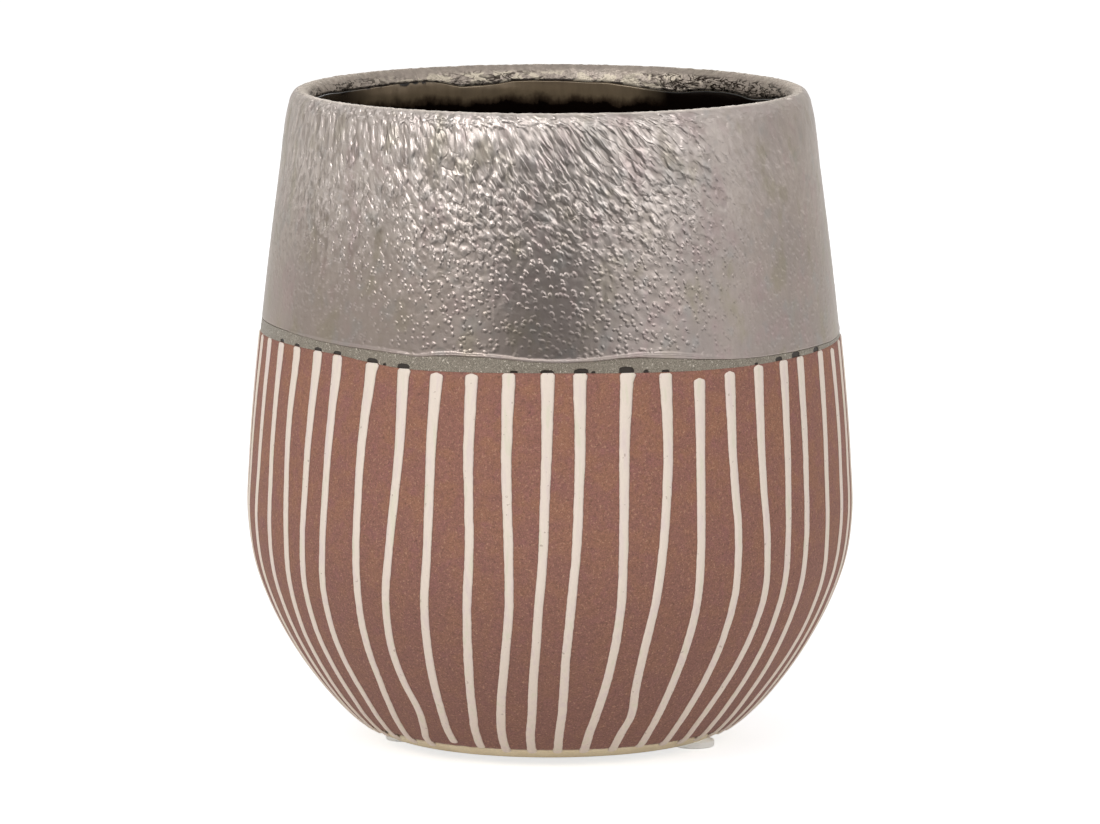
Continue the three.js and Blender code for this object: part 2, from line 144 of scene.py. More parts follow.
# Cards seen only mirrored: name, shade, width, height, azimuth, distance, and whether it lies flat
CARDS = [
    ("dark side", (0.1, 0.1, 0.1), 2.6, 1.15, -2, 3.3, False),
    ("left side", (0.66, 0.635, 0.58), 5.2, 0.62, -78, 2.6, False),
    ("right side", (0.74, 0.72, 0.7), 2.6, 0.8, 112, 2.6, False),
    ("dark floor", (0.08, 0.08, 0.08), 3.0, 2.7, 2, 1.65, True),
]
# The camera as fitted to the photograph: its place, its tilt down in degrees, the width of its
# sensor in millimetres, and the focal length and the picture's width in pixels
CAMERA_PLACE = (0, -2.7, 0.4898)
CAMERA_TILT = 7.980
SENSOR_WIDTH = 36
FOCAL_PIXELS, PICTURE_PIXELS = 8025, 1100


def mix(a, b, share):
    return a + (b - a) * share


def smooth(x, low, high):
    t = min(max((x - low) / (high - low), 0.0), 1.0)
    return t * t * (3 - 2 * t)


def out_of(azimuth):
    """The direction away from the axis at an azimuth in degrees."""
    angle = math.radians(azimuth)
    return math.sin(angle), -math.cos(angle)


def azimuth_of(point):
    return math.degrees(math.atan2(point[0], -point[1]))


def signed(azimuth):
    """The same azimuth, counted from -180 to 180."""
    return (azimuth + 180) % 360 - 180


def curve_through(places, values):
    """The slopes of a smooth curve that goes through these values."""
    spans = np.diff(places)
    rises = np.diff(values) / spans
    middle = (rises[:-1] * spans[1:] + rises[1:] * spans[:-1]) / (spans[:-1] + spans[1:])
    return np.concatenate([rises[:1], middle, rises[-1:]])


def along_curve(places, values, slopes, wanted):
    """The heights of that curve at the wanted places."""
    i = np.clip(np.searchsorted(places, wanted, side="right") - 1, 0, len(places) - 2)
    span = places[i + 1] - places[i]
    t = np.clip((wanted - places[i]) / span, 0, 1)
    bend = t * t * (3 - 2 * t)
    lift = span * (slopes[i] * t * (1 - t) ** 2 - slopes[i + 1] * t * t * (1 - t))
    return values[i] * (1 - bend) + values[i + 1] * bend + lift


class Around:
    """A value that changes smoothly round the vase, from pairs of azimuth and value."""

    STEP = 0.25  # degrees from one stored value to the next

    def __init__(self, pairs):
        pairs = sorted((azimuth % 360, value) for azimuth, value in pairs)
        turns = [(a + 360 * k, v) for k in (-1, 0, 1) for a, v in pairs]
        places, values = (np.array(column, float) for column in zip(*turns))
        wanted = np.arange(0, 360 + 2 * self.STEP, self.STEP)
        self.values = along_curve(places, values, curve_through(places, values), wanted).tolist()

    def __call__(self, azimuth):
        place = azimuth % 360 / self.STEP
        i = int(place)
        return mix(self.values[i], self.values[i + 1], place - i)


class Skin:
    """The finished surface, read by the length along its section."""

    STEP = 0.2 * MM  # from one stored point to the next

    def __init__(self, outline):
        corners = np.array(outline) * MM
        steps = np.linalg.norm(np.diff(corners, axis=0), axis=1)
        knots = np.concatenate([[0], np.cumsum(steps)])
        self.crest = knots[CREST]
        self.end = knots[-1]
        self.lengths = np.arange(0, self.end + self.STEP, self.STEP)
        self.points = np.stack([
            along_curve(knots, column, curve_through(knots, column), self.lengths)
            for column in corners.T
        ])
        forwards = np.gradient(self.points, axis=1)
        forwards /= np.linalg.norm(forwards, axis=0)
        self.normals = np.stack([forwards[1], -forwards[0]])

    def at(self, length, height=0.0):
        """Radius and height above the table at a length, raised above the surface by a height."""
        r, z = (np.interp(length, self.lengths, row) for row in self.points)
        out, up = (np.interp(length, self.lengths, row) for row in self.normals)
        return r + out * height, z + up * height

    def outside(self, z):
        """The length at which the outside passes a height above the table."""
        last = int(np.searchsorted(self.lengths, self.crest))
        return float(np.interp(z, self.points[1, :last], self.lengths[:last]))

    def inside(self, z):
        """The same inside."""
        first = int(np.searchsorted(self.lengths, self.crest))
        return float(np.interp(-z, -self.points[1, first:], self.lengths[first:]))

    def nearest(self, r, z):
        """The length of the place on the skin that lies nearest to a point."""
        gaps = np.hypot(self.points[0] - r, self.points[1] - z)
        return float(self.lengths[int(np.argmin(gaps))])


skin = Skin(OUTLINE)


def upper_edge(node):
    """The height of the upper edge of a CAD node round the vase: its highest corners there."""
    found = {}
    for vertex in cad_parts[node].data.vertices:
        x, y, z = vertex.co
        key = round(azimuth_of((x, y)) / Around.STEP) * Around.STEP % 360
        found[key] = max(z, found.get(key, z))
    return Around(found.items())


border_edge = upper_edge("slip_coat")
margin_edge = upper_edge("glaze_margin")
inner_edge = upper_edge("inner_glaze")
slip_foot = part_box("slip_coat")[0].z
bead_retouch = Around(BEAD_RETOUCH)


def border_at(azimuth):
    return skin.outside(border_edge(azimuth))


def bead_at(azimuth):
    wobble = 0.12 * noise.noise((azimuth * 0.35, 3.1, 0.0))
    return skin.outside(margin_edge(azimuth) + (bead_retouch(azimuth) + wobble) * MM)


def inner_edge_at(azimuth):
    wobble = 0.35 * noise.noise((azimuth * 0.22, 7.7, 0.0))
    return skin.inside(inner_edge(azimuth) + wobble * MM)


# -------------------------------- meshes

def sheet(rows, columns):
    """A flat grid of vertices whose x and y count its columns and rows."""
    bm = bmesh.new()
    bmesh.ops.create_grid(bm, x_segments=columns, y_segments=rows, size=1.0)
    bmesh.ops.translate(bm, verts=bm.verts, vec=(1, 1, 0))
    bmesh.ops.scale(bm, verts=bm.verts, vec=(columns / 2, rows / 2, 1))
    return bm


def wrap(bm, places):
    """Lays each vertex of a sheet on the skin, at its length, height above it and azimuth."""
    lengths, heights, azimuths = np.array(places).T
    r, z = skin.at(lengths, heights)
    r[lengths > skin.end - WELD] = 0  # the middle of the floor, where the columns meet
    turns = np.radians(azimuths)
    corners = np.stack([r * np.sin(turns), -r * np.cos(turns), z], axis=1).tolist()
    for vertex, corner in zip(bm.verts, corners):
        vertex.co = corner


def add_object(name, data):
    thing = bpy.data.objects.new(name, data)
    bpy.context.scene.collection.objects.link(thing)
    return thing


def mesh_object(bm, name, finish):
    mesh = bpy.data.meshes.new(name)
    bm.to_mesh(mesh)
    bm.free()
    mesh.materials.append(finish)
    return add_object(name, mesh)


def finish_mesh(bm, name, finish, replaced):
    """Welds poles and seams, turns faces outwards, and makes the object that rides on the body."""
    bmesh.ops.remove_doubles(bm, verts=bm.verts, dist=WELD)
    bmesh.ops.recalc_face_normals(bm, faces=bm.faces)
    piece = mesh_object(bm, name, finish)
    piece.data.shade_smooth()
    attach(piece, BODY)
    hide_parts(*replaced)


def coat(name, finish, replaced, start, end, shape, thickness, steps, face_rows,
         back_rows=4, marks=(), crowded=0.0, edge_rows=0, edge_span=0.0):
    """A closed ring of glaze or slip along the skin.

    start and end give its edges as lengths at an azimuth. shape(azimuth, length) gives how far its
    face stands above the skin there, and then the value of each of its marks, which are pairs of a
    name and a kind that its finish reads. steps is the number of its columns, and crowded is how
    much closer they stand in front than on average. edge_rows of its face_rows lie within
    edge_span of its start."""
    rows = face_rows + back_rows
    bm = sheet(rows, steps)
    layers = [getattr(bm.verts.layers, kind).new(mark) for mark, kind in marks]
    turns = []
    for i in range(steps):
        turn = math.tau * i / steps
        turns.append(math.degrees(turn - crowded * math.sin(turn)))
    edges = [(start(azimuth), end(azimuth)) for azimuth in turns]
    places = []
    for vertex in bm.verts:
        column, row = round(vertex.co.x) % steps, round(vertex.co.y) % rows
        azimuth = turns[column]
        low, high = edges[column]
        if row < face_rows:
            if row < edge_rows:
                length = low + edge_span * row / edge_rows
            else:
                share = (row - edge_rows) / (face_rows - 1 - edge_rows)
                length = mix(low + edge_span, high, share)
            height, *values = shape(azimuth, length)
            for layer, value in zip(layers, values):
                vertex[layer] = value
        else:
            length = mix(high, low, (row - face_rows) / (back_rows - 1))
            height = -thickness
        places.append((length, height, azimuth))
    wrap(bm, places)
    finish_mesh(bm, name, finish, replaced)


# -------------------------------- finishes

class Wire:
    """A socket's output that takes part in Python arithmetic."""

    def __init__(self, finish, socket):
        self.finish = finish
        self.socket = socket

    def _maths(self, operation, first, second=None):
        values = {0: first} if second is None else {0: first, 1: second}
        return self.finish.node("Math", values, operation=operation)

    def __add__(self, other):
        return self._maths("ADD", self, other)

    def __sub__(self, other):
        return self._maths("SUBTRACT", self, other)

    def __rsub__(self, other):
        return self._maths("SUBTRACT", other, self)

    def __mul__(self, other):
        return self._maths("MULTIPLY", self, other)

    def __truediv__(self, other):
        return self._maths("DIVIDE", self, other)

    def __abs__(self):
        return self._maths("ABSOLUTE", self)

    __radd__ = __add__
    __rmul__ = __mul__

    def or_more(self, other):
        return self._maths("MAXIMUM", self, other)

    def above(self, low, high):
        """0 below low, 1 above high and smooth in between."""
        values = {"Value": self, "From Min": low, "From Max": high}
        return self.finish.node("MapRange", values, interpolation_type="SMOOTHSTEP")


class Finish:
    """A material, and the one way in which its nodes are made."""

    def __init__(self, name, tree=None):
        if tree is None:
            self.material = bpy.data.materials.new(name)
            self.material.use_nodes = True
            tree = self.material.node_tree
        self.tree = tree
        self.tree.nodes.clear()

    def node(self, kind, values=None, out=0, **settings):
        """A shader node's output, from its settings and the values or links of its sockets."""
        node = self.tree.nodes.new("ShaderNode" + kind)
        for name, setting in settings.items():
            if name == "stops":
                ramp = node.color_ramp
                while len(ramp.elements) < len(setting):
                    ramp.elements.new(1.0)
                for element, (place, colour) in zip(ramp.elements, setting):
                    element.position = place
                    element.color = (*colour, 1.0)
            else:
                setattr(node, name, setting)
        for key, value in (values or {}).items():
            if isinstance(value, Wire):
                self.tree.links.new(value.socket, node.inputs[key])
            elif isinstance(value, tuple) and node.inputs[key].type == "RGBA":
                node.inputs[key].default_value = (*value, 1.0)
            else:
                node.inputs[key].default_value = value
        return Wire(self, node.outputs[out]) if out is not None else node

    def place(self):
        return self.node("TexCoord", out="Object")

    def grain(self, size, detail=2.0, roughness=0.5, stretch=(1, 1, 1), shift=(0, 0, 0),
              coords=None, distortion=0.0):
        """Noise from 0 to 1 whose features are about this size in the unit of its coordinates."""
        coords = coords or self.place()
        if stretch != (1, 1, 1) or shift != (0, 0, 0):
            values = {"Vector": coords, "Location": shift, "Scale": stretch}
            coords = self.node("Mapping", values)
        values = {"Vector": coords, "Scale": 1 / size, "Detail": detail, "Roughness": roughness,
                  "Distortion": distortion}
        return self.node("TexNoise", values, noise_dimensions="3D")

    def mark(self, name, out="Fac"):
        """A value that the mesh carries at its corners."""
        return self.node("Attribute", out=out, attribute_type="GEOMETRY", attribute_name=name)

    def part(self, vector, axis):
        return self.node("SeparateXYZ", {0: vector}, out=axis)

    def height(self):
        return self.part(self.place(), "Z")

    def blend(self, share, first, second):
        return self.node("Mix", {0: share, 6: first, 7: second}, out=2, data_type="RGBA")

    def tint(self, colour, by, amount):
        """The colour made lighter and darker by a value round 0.5."""
        factor = (by - 0.5) * amount + 1.0
        vector = self.node("CombineXYZ", {0: factor, 1: factor, 2: factor})
        return self.node("VectorMath", {0: colour, 1: vector}, operation="MULTIPLY")

    def bump(self, height, distance, strength=1.0, normal=None):
        values = {"Height": height, "Distance": distance, "Strength": strength}
        if normal:
            values["Normal"] = normal
        return self.node("Bump", values)

    def surface(self, **values):
        """The shader itself. Names are those of its sockets with _ for a space."""
        named = {name.replace("_", " "): value for name, value in values.items()}
        self.output(self.node("BsdfPrincipled", named))
        return self.material

    def output(self, shader):
        self.node("OutputMaterial", {"Surface": shader}, out=None, target="ALL")


def srgb(red, green, blue):
    """A colour given as seen on a screen, from 0 to 255, in the linear values that shaders use."""
    def linear(value):
        share = value / 255
        return share / 12.92 if share <= 0.04045 else ((share + 0.055) / 1.055) ** 2.4
    return linear(red), linear(green), linear(blue)


def clay_finish(looks):
    f = Finish("bare clay")
    speck = f.grain(0.9 * MM, 3.0, 0.6)
    patch = f.grain(14 * MM)
    colour = f.blend(patch.above(0.3, 0.7), tuple(looks.clay), srgb(238, 222, 190))
    colour = f.tint(colour, speck, 0.4)
    return f.surface(Base_Color=colour, Roughness=0.85, Normal=f.bump(speck, 0.15 * MM, 0.6))


def slip_finish(looks):
    f = Finish("terracotta slip")
    sand = f.grain(0.42 * MM, 2.0, 0.6)
    grit = f.grain(0.95 * MM, 2.0, 0.55)
    cloud = f.grain(9 * MM, 3.0, 0.6)
    violet = f.grain(5 * MM, 2.0, 0.55)
    colour = f.blend(cloud.above(0.38, 0.66) * 0.8, tuple(looks.slip), srgb(154, 108, 84))
    colour = f.blend(violet.above(0.5, 0.7) * 0.5, colour, srgb(146, 97, 94))
    # painted shade: the slip is darker towards the bottom, where the surface turns down
    colour = f.blend((1 - f.height().above(0.005, 0.125)) * 0.6, colour, srgb(126, 92, 83))
    colour = f.tint(f.tint(colour, sand, 1.2), grit, 0.65)
    flecks = f.grain(0.7 * MM, 1.0).above(0.62, 0.7)
    colour = f.blend(flecks * 0.55, colour, srgb(188, 144, 118))
    pits = f.grain(1.1 * MM, 1.0, shift=(0.4, 0.1, 0.7)).above(0.66, 0.74)
    colour = f.blend(pits * 0.4, colour, srgb(92, 62, 54))
    return f.surface(Base_Color=colour, Roughness=0.82, Normal=f.bump(grit + sand, 0.14 * MM, 0.7))


def margin_finish(looks):
    f = Finish("thin first glaze")
    glitter = f.grain(0.38 * MM, 2.0, 0.7)
    patch = f.grain(5 * MM)
    colour = f.blend(glitter.above(0.36, 0.66), srgb(112, 104, 92), tuple(looks.margin))
    colour = f.blend(patch.above(0.35, 0.65) * 0.4, colour, srgb(134, 124, 112))
    # painted glints: small bright specks painted into the glaze colour
    painted_glints = f.grain(0.6 * MM, 0.0).above(0.72, 0.78)
    colour = f.blend(painted_glints * 0.7, colour, srgb(226, 216, 202))
    colour = f.blend(f.mark("crawl").above(0.3, 0.6), colour, srgb(52, 45, 39))
    return f.surface(Base_Color=colour, Metallic=0.25, Roughness=0.5,
                     Normal=f.bump(glitter, 0.16 * MM, 0.7))


def pebble_pattern(f, flow, across, upper):
    """The pebbles of the metallic glaze, and the small round dots between them.

    Each is 1 on a crown and 0 beside it. Sizes are in millimetres, like the flow that carries the
    pattern. upper is 1 on the upper half, where the pebbles are drawn out."""
    broad = f.grain(3.8, 0.0, coords=flow, distortion=0.3).above(0.38, 0.6)
    narrow = f.grain(2.3, 0.0, coords=flow, distortion=0.2).above(0.38, 0.62)
    crease = 1 - abs(f.grain(4.6, 0.0, coords=flow, distortion=0.4) - 0.5).above(0.0, 0.035)
    uneven = (f.grain(1.8, 0.0, coords=flow) - 0.5) * 0.6
    right, left = across.above(5, 45), 1 - across.above(-55, -15)
    sort = (f.grain(16.0, 1.0, coords=flow) + right * 0.14 - left * 0.1).above(0.42, 0.58)

    def drops(size, low, high):
        near = 1 - f.node("TexVoronoi", {"Vector": flow, "Scale": 1 / size})
        return (near + uneven).above(low, high)

    islands = (narrow * (1 - sort * 0.7) + broad * sort * 0.7) * 0.6
    islands = islands + drops(3.3, 0.35, 0.85) * 0.55 - crease * upper * 0.15
    return islands, drops(2.0, 0.52, 0.95)


def metal_finish(looks):
    f = Finish("metallic glaze")
    flow, pebbled, lip = f.mark("flow", "Vector"), f.mark("pebbled"), f.mark("lip")
    height, across = f.height(), f.part(flow, "X")
    upper = height.above(0.165, 0.2)
    islands, dots = pebble_pattern(f, flow, across, upper)
    fine = f.grain(0.5 * MM, 2.0, 0.6)
    mottle = f.grain(2.4 * MM, 3.0, 0.6)

    # Slow drifts of tint, pebbles painted lighter as a highlight that grows towards the top,
    # painted shade on the lower part, and painted shade in the hollows between the pebbles
    patch = f.grain(22 * MM).above(0.35, 0.65)
    cool = f.grain(7 * MM, stretch=(1, 1, 0.8)).above(0.54, 0.7)
    tint = f.grain(10 * MM, 3.0, 0.6, stretch=(1, 1, 0.6))
    streak = f.grain(1.3 * MM, 2.0, 0.6, stretch=(1, 1, 0.15))
    # painted highlight: pebbled places take the lighter pebble colour, most strongly towards the
    # top
    painted_top_light = height.above(0.165, 0.205) * 0.6 + 0.4
    # painted shade: the lower part is darker, on the left and not on the right
    low = (1 - height.above(0.135, 0.205)) * (0.3 - across.above(-20, 30) * 0.3)
    # painted shade in the hollows between the pebbles
    painted_hollow_shade = (1 - islands) * pebbled * 0.9
    colour = f.blend(patch, tuple(looks.metal), srgb(168, 156, 149))
    colour = f.blend(pebbled * painted_top_light, colour, tuple(looks.pebble))
    colour = f.blend(cool * 0.4, colour, srgb(158, 158, 156))
    colour = f.blend(tint.above(0.52, 0.7) * 0.45, colour, srgb(152, 145, 122))
    colour = f.blend((1 - tint).above(0.52, 0.7) * 0.45, colour, srgb(172, 150, 150))
    colour = f.tint(colour, streak, 0.2)
    colour = f.blend(low, colour, srgb(138, 123, 114))
    colour = f.blend(painted_hollow_shade * (0.62 - 0.2 * f.mark("crown")), colour, srgb(112, 100, 92))

    # The lip: mottled, with a painted highlight along the front crest, and inside painted white as
    # a highlight in places and cracked through to the dark in others
    ahead = 1 - f.part(flow, "Y").above(-50, -15)
    # painted highlight along the front crest of the lip
    painted_crest_highlight = height.above(0.2211, 0.2217) * ahead
    # painted highlight: white patches inside the lip, where the glaze is also made less metallic
    white = f.grain(5.5 * MM, 2.0, 0.55, stretch=(1, 1, 1.8), distortion=0.5).above(0.49, 0.56)
    white = white * f.mark("white")
    squiggle = abs(f.grain(7 * MM, 2.0, 0.6, stretch=(1, 1, 2.8), distortion=1.0) - 0.5)
    cracks = (1 - squiggle.above(0.012, 0.06)) * f.mark("cracked")
    colour = f.blend(lip * 0.8, colour, f.tint(srgb(150, 139, 128), mottle, 1.2))
    colour = f.blend(white * 0.85, colour, srgb(224, 211, 190))
    colour = f.blend(painted_crest_highlight * 0.75, colour, f.tint(srgb(216, 206, 198), mottle, 0.5))
    colour = f.blend(cracks, colour, srgb(38, 29, 22))
    colour = f.tint(colour, fine, 0.14)

    calm = f.grain(8.0, 1.0, coords=flow).above(0.52, 0.66)
    domes = islands * (1 - calm * 0.5) * (upper * 0.75 + 0.25) + dots * (0.85 - upper * 0.55)
    relief = f.bump(domes * (pebbled * 0.92 + 0.08), 0.5 * MM)
    relief = f.bump(mottle * lip, 0.6 * MM, normal=relief)
    relief = f.bump(fine, 0.03 * MM, 0.6, normal=relief)
    rough = 0.31 + lip * 0.1 + (fine - 0.5) * 0.12
    return f.surface(Base_Color=colour, Metallic=0.85 - white * 0.6, Roughness=rough,
                     Specular_Tint=(0.7, 0.68, 0.64), Normal=relief)


def lining_finish(looks):
    f = Finish("dark inner glaze")
    streak = f.grain(5 * MM, 3.0, 0.6, stretch=(1, 1, 0.3))
    ragged = f.grain(9 * MM, 4.0, 0.65, stretch=(1, 1, 0.6))
    # painted light and shade: a painted shadow line at the top edge, a pale painted band of light
    # under it, and painted shade that turns the glaze near black deeper inside
    below = (0.2172 - f.height()) / 0.0115 + (ragged - 0.5) * 0.8
    colour = f.node("ValToRGB", {0: below}, stops=[
        (0.0, srgb(24, 17, 12)), (0.06, srgb(134, 117, 96)), (0.44, srgb(130, 113, 90)),
        (0.62, srgb(76, 62, 48)), (0.76, tuple(looks.lining))])
    colour = f.blend(f.mark("pale"), tuple(looks.lining), f.tint(colour, streak, 1.0))
    return f.surface(Base_Color=colour, Metallic=0.35, Roughness=0.17,
                     Normal=f.bump(streak, 0.35 * MM, 0.5))


def cream_finish(looks):
    f = Finish("cream slip")
    paste = f.grain(1.0 * MM, 3.0, 0.6)
    streak = f.grain(2.2 * MM, stretch=(1, 1, 0.16))
    colour = f.blend(streak.above(0.5, 0.7) * 0.6, tuple(looks.cream), srgb(230, 212, 208))
    colour = f.blend((1 - streak).above(0.56, 0.72) * 0.55, colour, srgb(224, 220, 196))
    colour = f.tint(colour, paste, 0.1)
    holes = f.grain(1.5 * MM, 1.0).above(0.72, 0.78)
    colour = f.blend(holes * 0.5, colour, srgb(160, 138, 122))
    # painted shade along the raised line's sides: its edges turn a darker terracotta than the slip
    colour = f.blend((1 - f.mark("paint")).above(0.5, 0.95), colour, srgb(128, 86, 72))
    return f.surface(Base_Color=colour, Roughness=0.72, Normal=f.bump(paste, 0.12 * MM, 0.6))


def pad_finish(looks):
    f = Finish("clear pad")
    return f.surface(Base_Color=tuple(looks.pad), Roughness=0.3, Transmission_Weight=0.5, IOR=1.42)


# -------------------------------- the pieces' own shapes

pebbles_high = Around(PEBBLES_HIGH)
pebbles_low = Around(PEBBLES_LOW)
pebble_lean = Around(PEBBLE_LEAN)
pebble_squeeze = Around(PEBBLE_SQUEEZE)
bead_proud = Around(BEAD_PROUD)
bead_above = Around(BEAD_ABOVE)
painted_highlight_inside = Around(PAINTED_HIGHLIGHT_INSIDE)
cracked_inside = Around(CRACKED_INSIDE)
lit_band_inside = Around(LIT_BAND_INSIDE)


def flow_at(azimuth, rise, climb):
    """Where a place lies in the pattern of pebbles, which lean and grow taller towards the lip."""
    lean = pebble_lean(azimuth) * rise * (0.15 + 0.55 * climb)
    angle = math.radians(azimuth) + lean / PEBBLE_RADIUS
    return Vector((PEBBLE_RADIUS * math.sin(angle), -PEBBLE_RADIUS * math.cos(angle),
                   rise * (1 - pebble_squeeze(azimuth) * climb * climb / 3)))


def crown_at(flow, size):
    """1 on a pebble of that size and 0 in the hollow beside it."""
    place = flow / size
    place += noise.noise_vector(place * 0.55) * 0.5
    return smooth(noise.noise(place), -0.25, 0.3)


def metal_shape(sizes):
    noise.seed_set(1)  # without it noise_vector would be another one in each run
    top = skin.outside(LIP_START) / MM
    crest = skin.crest / MM
    width = sizes.bead_width / MM
    swell = sizes.bead_swell / MM
    depth = sizes.pebble_depth / MM

    def shape(azimuth, length):
        at = length / MM
        rise = at - bead_at(azimuth) / MM
        face = smooth(rise, 0, 0.8) * 0.7 - 0.75
        ridge = math.exp(-((rise - bead_above(azimuth)) / (width / 2)) ** 2)
        rough = 1 + 0.5 * noise.noise((azimuth * 1.7, 1.0, 4.0))
        face += swell * bead_proud(azimuth) * rough * ridge
        climb = rise / (top - at + rise)
        strength = mix(pebbles_low(azimuth), pebbles_high(azimuth), smooth(climb, 0.05, 0.75))
        strength *= smooth(rise, width * 0.8, width * 2)
        strength *= 1 - smooth(at, crest - 1.2, crest + 0.4)
        flow = flow_at(azimuth, rise, climb)
        flow.z += 5 * smooth(at, crest - 8, crest)
        sort = smooth(noise.noise((azimuth * 0.06, at * 0.045, 2.0)), -0.25, 0.3)
        crown = mix(crown_at(flow, SMALL_PEBBLE), crown_at(flow, LARGE_PEBBLE), sort)
        hollow = (1 - crown) * mix(0.7, 1.0, sort) - 0.25 * noise.noise(flow * 0.9)
        face -= (hollow + 0.1) * depth * strength
        lip = smooth(at, crest - 2.2, crest - 0.2)
        face -= lip * (0.1 + 0.2 * noise.noise((azimuth * 0.9, at * 0.5, 6.0)))
        lower_half = at - crest + 0.6 * noise.noise((azimuth * 0.2, 2.0, 2.0))
        # painted highlight on the lower half of the lip's inside
        white = smooth(lower_half, 3.8, 4.4) * painted_highlight_inside(azimuth)
        cracked = smooth(lower_half, 3.0, 4.2) * cracked_inside(azimuth)
        return face * MM, crown, min(strength, 1.0), lip, white, cracked, flow

    return shape


def crawl_value(azimuth, length):
    """1 where the first glaze has crawled away above a line, 0 elsewhere."""
    best = 0.0
    rise = (length - border_at(azimuth)) / MM
    for centre, width, height in CRAWLS:
        across = math.radians(signed(azimuth - centre)) * MARGIN_RADIUS / (width / 2)
        if abs(across) > 1.4:
            continue
        up = max(rise / height - 0.5, 0.0) / 0.6
        spot = 1 - abs(across) ** 2.5 - up * up
        spot += 0.25 * noise.noise((azimuth * 2, length / MM, 9.0))
        best = max(best, smooth(spot, -0.15, 0.35))
    return best


def line_path(node):
    """A painted line's lengths along the skin, with its azimuth and width there, from the corners
    of its CAD node."""
    sections = {}
    same_section = 0.6 * MM
    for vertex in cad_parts[node].data.vertices:
        x, y, z = vertex.co
        length = skin.nearest(math.hypot(x, y), z)
        key = next((known for known in sections if abs(known - length) < same_section), length)
        sections.setdefault(key, set()).add((round(x, 6), round(y, 6)))
    rows = []
    for length in sorted(sections):
        corners = sections[length]
        turns = np.unwrap([math.radians(azimuth_of(corner)) for corner in corners])
        radius = np.mean([math.hypot(*corner) for corner in corners])
        rows.append((length, float(turns.max() + turns.min()) / 2, float(np.ptp(turns)) * radius))
    lengths, turns, widths = (np.array(column) for column in zip(*rows))
    return lengths, np.unwrap(turns), widths


def brush_along(k, at):
    """How the brush moved at each of a painted line's stations: its width as a share, how far it
    strayed in millimetres, how full the line is near its ends, and how far it flares at its top."""
    seed = k * LINE_SEED
    rounded = k + 1 in ROUND_TOPS or k >= FRONT_LINES and k % 3 == 0
    dome, blunt = (1.2 * MM, 0.02) if rounded else (0.5 * MM, 0.5)
    flare = FLARED_TOPS.get(k + 1, 0.0) * MM
    strokes = []
    for length in at:
        place = length / MM
        width = 1 + 0.07 * noise.noise((seed, place * 0.09, 0.0))
        drift = (0.18 * noise.noise((seed, place * 0.05, 5.0))
                 + 0.1 * noise.noise((seed, place * 0.3, 8.0)))
        to_start = min((length - at[0]) / (1.4 * MM), 1)
        to_end = min((at[-1] - length) / dome, 1)
        tip = (math.sqrt(max(1 - (1 - to_start) ** 2, 0.02))
               * math.sqrt(max(1 - (1 - to_end) ** 2, blunt)))
        strokes.append((width, drift, tip, flare * (1 - smooth(at[-1] - length, 0, 3.5 * MM))))
    return strokes


# -------------------------------- settings

def length_setting(name, text, default):
    return bpy.props.FloatProperty(name=name, description=text, default=default, min=0.0,
                                   unit="LENGTH", subtype="DISTANCE")


def colour_setting(name, text, default):
    return bpy.props.FloatVectorProperty(name=name, description=text, default=default, size=3,
                                         min=0.0, max=1.0, subtype="COLOR")


class VaseSizes(bpy.types.PropertyGroup):
    coat_thickness: length_setting("Coat thickness", "Thickness of slip and glaze", 0.8 * MM)
    bead_width: length_setting("Bead width", "Width of the ridge at the glaze's edge", 1.1 * MM)
    bead_swell: length_setting("Bead swell", "How far that ridge stands proud", 0.5 * MM)
    pebble_depth: length_setting("Pebble depth", "Depth of the hollows between them", 0.2 * MM)
    line_rise: length_setting("Line rise", "How far the painted lines stand proud", 0.42 * MM)
    pad_edge: length_setting("Pad edge", "Rounding of the pads' edges", 0.5 * MM)


class VaseLooks(bpy.types.PropertyGroup):
    clay: colour_setting("Clay", "Bare clay at the foot", srgb(251, 238, 208))
    slip: colour_setting("Slip", "Terracotta slip", srgb(145, 100, 87))
    margin: colour_setting("Margin", "Thin first glaze at its palest", srgb(164, 156, 142))
    metal: colour_setting("Metal", "Metallic glaze where it is smooth", srgb(160, 149, 144))
    # painted highlight: a lighter copy of the metallic glaze's colour, used on its pebbles
    pebble: colour_setting("Pebbles", "Pebbles of the metallic glaze", srgb(208, 198, 192))
    lining: colour_setting("Lining", "Glaze inside", srgb(17, 9, 6))
    cream: colour_setting("Cream", "Painted lines", srgb(238, 224, 211))
    pad: colour_setting("Pad", "Pads under the foot", srgb(243, 240, 235))
    floor: colour_setting("Floor", "Floor that the vase stands on", (0.62, 0.62, 0.62))


class PieceOperator:
    """What the operators share: each builds its pieces from the settings."""
    bl_options = {"REGISTER", "UNDO"}

    def execute(self, context):
        self.build(context.scene.vase_sizes, context.scene.vase_looks)
        return {"FINISHED"}


